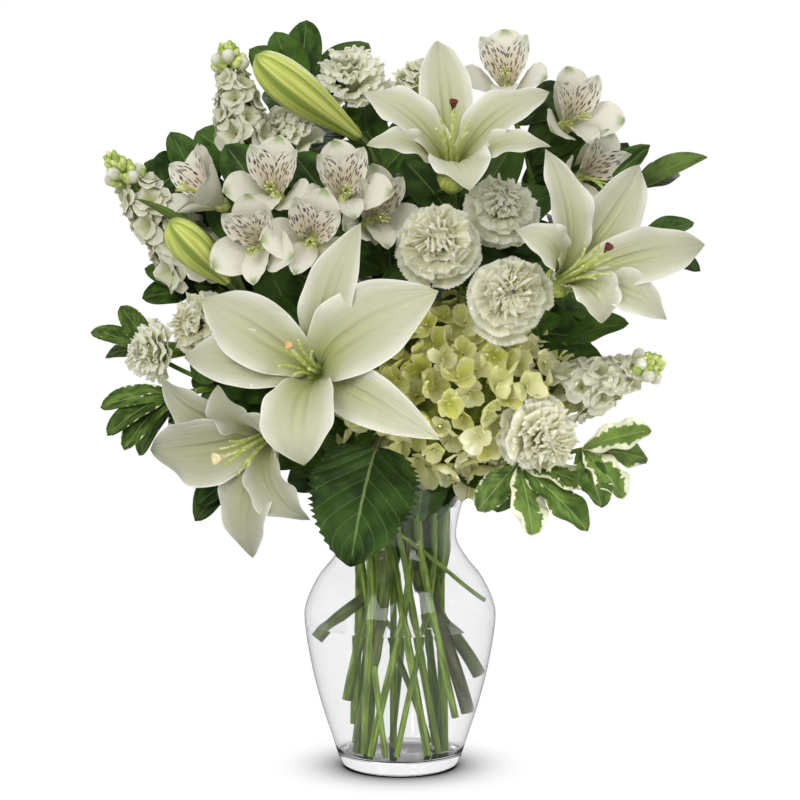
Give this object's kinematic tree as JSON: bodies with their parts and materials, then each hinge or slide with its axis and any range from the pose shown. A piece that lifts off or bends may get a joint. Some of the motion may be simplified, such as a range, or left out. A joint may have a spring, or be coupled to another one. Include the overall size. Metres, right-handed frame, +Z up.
{
  "type": "mixed white bouquet with lilies in a glass vase",
  "caption": "Clear glass urn vase half full of water with a white bouquet of lilies, alstroemeria, carnations, stock, hydrangea and leafy green stems.",
  "frame": {"origin": "centre of the vase's foot, on the surface that it stands on", "axes": "+Z up, -Y towards the front of the bouquet, +X to its right as seen from the front"},
  "size_m": [0.381, 0.3019, 0.473],
  "materials": {
    "glass": "clear polished",
    "water": "clear",
    "lily_petal": "soft white petal",
    "bud_skin": "waxy green-white",
    "alstroemeria_petal": "soft white petal with dark flecks",
    "carnation_petal": "soft white petal",
    "stock_petal": "soft cream petal",
    "hydrangea_petal": "soft lime to cream petal",
    "woody_stem": "rough bark",
    "lily_stem": "waxy green",
    "green_stem": "matte green",
    "variegated_leaf": "waxy green leaf with cream edges",
    "dark_leaf": "waxy dark green"
  },
  "bodies": {
    "root": {"vase": "glass", "water": "water", "lily_front": "lily_petal", "lily_low_left": "lily_petal", "lily_top": "lily_petal", "lily_right": "lily_petal", "lily_back": "lily_petal", "lily_bud_top": "bud_skin", "lily_bud_left": "bud_skin", "alstroemeria_1": "alstroemeria_petal", "alstroemeria_2": "alstroemeria_petal", "alstroemeria_3": "alstroemeria_petal", "alstroemeria_4": "alstroemeria_petal", "alstroemeria_5": "alstroemeria_petal", "alstroemeria_6": "alstroemeria_petal", "alstroemeria_7": "alstroemeria_petal", "alstroemeria_8": "alstroemeria_petal", "alstroemeria_9": "alstroemeria_petal", "carnation_1": "carnation_petal", "carnation_2": "carnation_petal", "carnation_3": "carnation_petal", "carnation_4": "carnation_petal", "carnation_5": "carnation_petal", "carnation_6": "carnation_petal", "carnation_7": "carnation_petal", "carnation_8": "carnation_petal", "carnation_9": "carnation_petal", "carnation_10": "carnation_petal", "carnation_11": "carnation_petal", "stock_top_left": "stock_petal", "stock_left": "stock_petal", "stock_right": "stock_petal", "hydrangea_head": "hydrangea_petal", "stem_lily_left": "lily_stem", "stem_lily_right": "lily_stem", "stem_lily_back": "lily_stem", "stem_alstroemeria_left": "green_stem", "stem_alstroemeria_middle": "green_stem", "stem_alstroemeria_right": "green_stem", "stem_carnations_front": "green_stem", "stem_carnation_low": "green_stem", "stem_carnations_left": "green_stem", "stem_carnations_top": "green_stem", "stem_carnation_high": "green_stem", "stem_carnation_back_right": "green_stem", "stem_carnation_back_left": "green_stem", "stem_stock_top_left": "green_stem", "stem_stock_left": "green_stem", "stem_stock_right": "green_stem", "stem_hydrangea": "woody_stem", "pittosporum_right": "variegated_leaf", "pittosporum_left": "variegated_leaf", "greenery_high_left": "dark_leaf", "greenery_top": "dark_leaf", "greenery_right": "dark_leaf", "greenery_back_right": "dark_leaf", "pittosporum_back": "variegated_leaf", "greenery_back_left": "dark_leaf"}
  },
  "joints": []
}
